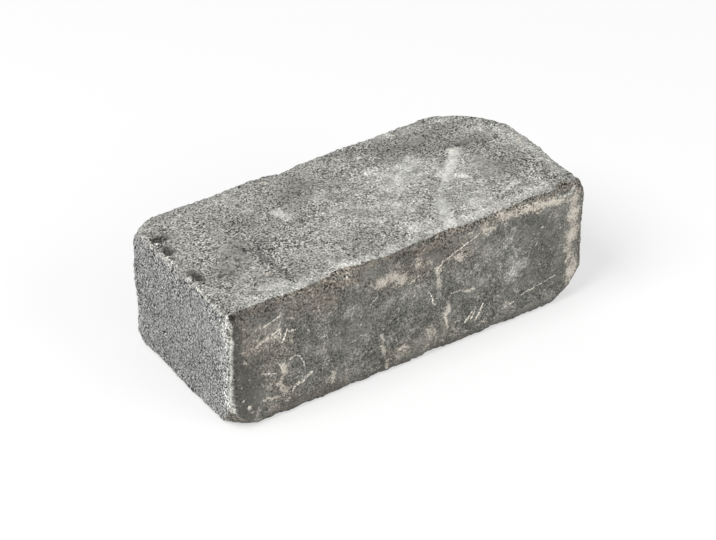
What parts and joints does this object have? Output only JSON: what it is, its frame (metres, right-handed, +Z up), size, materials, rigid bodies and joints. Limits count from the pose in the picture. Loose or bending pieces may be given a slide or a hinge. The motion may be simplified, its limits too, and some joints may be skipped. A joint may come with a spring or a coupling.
{
  "type": "garden wall block",
  "caption": "Tumbled concrete walling block: a solid rectangular block with flat bed faces and irregular, worn arrises, stacked in courses to build a low garden wall.",
  "frame": {"origin": "middle of the lower bed face, which the block rests on", "axes": "+X along the block's length, +Y from the show face to the back, +Z up through the course height"},
  "size_m": [0.3, 0.135, 0.1],
  "materials": {
    "concrete": "tumbled grey cast concrete, matt, with pale scuffs"
  },
  "bodies": {
    "root": {"wall_block": "concrete"}
  },
  "joints": []
}
